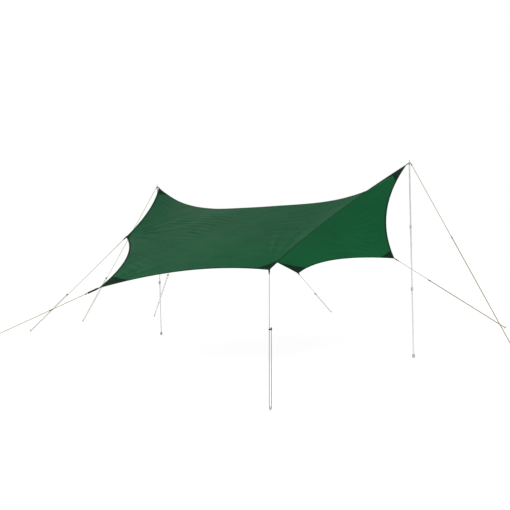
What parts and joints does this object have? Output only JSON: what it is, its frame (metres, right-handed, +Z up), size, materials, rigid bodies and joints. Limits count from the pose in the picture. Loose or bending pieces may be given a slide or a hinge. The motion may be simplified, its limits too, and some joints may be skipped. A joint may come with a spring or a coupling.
{
  "type": "tarp shelter",
  "caption": "Saddle-shaped tarp shelter with two telescopic poles, guylines, tensioners and ground stakes.",
  "frame": {"origin": "on the ground, halfway between the feet of the two poles", "axes": "+Z up; +X from the left pole to the right pole; -Y towards the front corner"},
  "size_m": [8.8326, 9.0265, 2.6116],
  "materials": {
    "canopy_cloth": "tightly woven coated ripstop, matt",
    "binding_tape": "woven binding tape",
    "patch_cloth": "heavier woven cloth, matt",
    "ring_steel": "polished steel ring",
    "webbing": "black woven webbing",
    "guyline_cord": "braided cord, olive yellow",
    "tensioner_plastic": "moulded, slightly rough",
    "stake_metal": "drawn bar, scuffed",
    "tip_metal": "turned steel",
    "pole_tube": "satin anodised",
    "clamp_plastic": "moulded nylon",
    "lever_plastic": "moulded nylon",
    "pin_steel": "steel pin",
    "foot_rubber": "moulded rubber"
  },
  "bodies": {
    "pitch": {"canopy": "canopy_cloth", "edge_binding": "binding_tape", "reinforcement_patches": "patch_cloth", "peak_ring_left": "ring_steel", "peak_ring_right": "ring_steel", "webbing_left_peak": "webbing", "guyline_left_peak": "guyline_cord", "stake_left_peak": "stake_metal", "webbing_left_edge": "webbing", "guyline_left_edge": "guyline_cord", "stake_left_edge": "stake_metal", "webbing_front_corner": "webbing", "guyline_front_corner": "guyline_cord", "stake_front_corner": "stake_metal", "webbing_front_edge": "webbing", "guyline_front_edge": "guyline_cord", "stake_front_edge": "stake_metal", "webbing_right_peak": "webbing", "guyline_right_peak": "guyline_cord", "stake_right_peak": "stake_metal", "webbing_right_edge": "webbing", "guyline_right_edge": "guyline_cord", "stake_right_edge": "stake_metal", "webbing_back_corner": "webbing", "guyline_back_corner": "guyline_cord", "stake_back_corner": "stake_metal", "webbing_back_edge": "webbing", "guyline_back_edge": "guyline_cord", "stake_back_edge": "stake_metal"},
    "left_pole_top": {"left_pole_tip": "tip_metal", "left_top_tube": "pole_tube"},
    "left_pole_middle": {"left_middle_tube": "pole_tube", "left_upper_clamp": "clamp_plastic", "left_upper_lever_pin": "pin_steel"},
    "left_pole_bottom": {"left_bottom_tube": "pole_tube", "left_lower_clamp": "clamp_plastic", "left_lower_lever_pin": "pin_steel", "left_pole_foot": "foot_rubber"},
    "left_upper_lever": {"left_upper_lever": "lever_plastic"},
    "left_lower_lever": {"left_lower_lever": "lever_plastic"},
    "right_pole_top": {"right_pole_tip": "tip_metal", "right_top_tube": "pole_tube"},
    "right_pole_middle": {"right_middle_tube": "pole_tube", "right_upper_clamp": "clamp_plastic", "right_upper_lever_pin": "pin_steel"},
    "right_pole_bottom": {"right_bottom_tube": "pole_tube", "right_lower_clamp": "clamp_plastic", "right_lower_lever_pin": "pin_steel", "right_pole_foot": "foot_rubber"},
    "right_upper_lever": {"right_upper_lever": "lever_plastic"},
    "right_lower_lever": {"right_lower_lever": "lever_plastic"},
    "tensioner_left_peak": {"tensioner_left_peak": "tensioner_plastic"},
    "tensioner_left_edge": {"tensioner_left_edge": "tensioner_plastic"},
    "tensioner_front_corner": {"tensioner_front_corner": "tensioner_plastic"},
    "tensioner_front_edge": {"tensioner_front_edge": "tensioner_plastic"},
    "tensioner_right_peak": {"tensioner_right_peak": "tensioner_plastic"},
    "tensioner_right_edge": {"tensioner_right_edge": "tensioner_plastic"},
    "tensioner_back_corner": {"tensioner_back_corner": "tensioner_plastic"},
    "tensioner_back_edge": {"tensioner_back_edge": "tensioner_plastic"}
  },
  "joints": [
    {"name": "left_pole_swing", "type": "hinge", "parent": "pitch", "child": "left_pole_top", "pos_m": [-2.33, 0, 2.39142], "axis": [0, 1, 0], "range_deg": [-12, 12]},
    {"name": "left_middle_slide", "type": "slide", "parent": "left_pole_top", "child": "left_pole_middle", "axis": [0, 0, 1], "range_m": [0, 0.7]},
    {"name": "left_bottom_slide", "type": "slide", "parent": "left_pole_middle", "child": "left_pole_bottom", "axis": [0, 0, 1], "range_m": [0, 0.7]},
    {"name": "left_upper_lever_hinge", "type": "hinge", "parent": "left_pole_middle", "child": "left_upper_lever", "pos_m": [-2.33, -0.01645, 1.632], "axis": [-1, 0, 0], "range_deg": [0, 110]},
    {"name": "left_lower_lever_hinge", "type": "hinge", "parent": "left_pole_bottom", "child": "left_lower_lever", "pos_m": [-2.33, -0.0177, 0.862], "axis": [-1, 0, 0], "range_deg": [0, 110]},
    {"name": "right_pole_swing", "type": "hinge", "parent": "pitch", "child": "right_pole_top", "pos_m": [2.33, 0, 2.39142], "axis": [0, 1, 0], "range_deg": [-12, 12]},
    {"name": "right_middle_slide", "type": "slide", "parent": "right_pole_top", "child": "right_pole_middle", "axis": [0, 0, 1], "range_m": [0, 0.7]},
    {"name": "right_bottom_slide", "type": "slide", "parent": "right_pole_middle", "child": "right_pole_bottom", "axis": [0, 0, 1], "range_m": [0, 0.7]},
    {"name": "right_upper_lever_hinge", "type": "hinge", "parent": "right_pole_middle", "child": "right_upper_lever", "pos_m": [2.33, -0.01645, 1.632], "axis": [-1, 0, 0], "range_deg": [0, 110]},
    {"name": "right_lower_lever_hinge", "type": "hinge", "parent": "right_pole_bottom", "child": "right_lower_lever", "pos_m": [2.33, -0.0177, 0.862], "axis": [-1, 0, 0], "range_deg": [0, 110]},
    {"name": "left_peak_tensioner_slide", "type": "slide", "parent": "pitch", "child": "tensioner_left_peak", "axis": [-0.7665, 0.1638, -0.621], "range_m": [0, 0.5]},
    {"name": "left_edge_tensioner_slide", "type": "slide", "parent": "pitch", "child": "tensioner_left_edge", "axis": [-0.8966, 0.1653, -0.4108], "range_m": [0, 0.5]},
    {"name": "front_corner_tensioner_slide", "type": "slide", "parent": "pitch", "child": "tensioner_front_corner", "axis": [-0.616, -0.6825, -0.3935], "range_m": [0, 0.5]},
    {"name": "front_edge_tensioner_slide", "type": "slide", "parent": "pitch", "child": "tensioner_front_edge", "axis": [0.5442, -0.6558, -0.5232], "range_m": [0, 0.5]},
    {"name": "right_peak_tensioner_slide", "type": "slide", "parent": "pitch", "child": "tensioner_right_peak", "axis": [0.4335, 0.1479, -0.8889], "range_m": [0, 0.5]},
    {"name": "right_edge_tensioner_slide", "type": "slide", "parent": "pitch", "child": "tensioner_right_edge", "axis": [0.407, 0.7602, -0.5064], "range_m": [0, 0.5]},
    {"name": "back_corner_tensioner_slide", "type": "slide", "parent": "pitch", "child": "tensioner_back_corner", "axis": [-0.3582, 0.8646, -0.3524], "range_m": [0, 0.5]},
    {"name": "back_edge_tensioner_slide", "type": "slide", "parent": "pitch", "child": "tensioner_back_edge", "axis": [-0.6479, 0.2476, -0.7204], "range_m": [0, 0.5]}
  ]
}
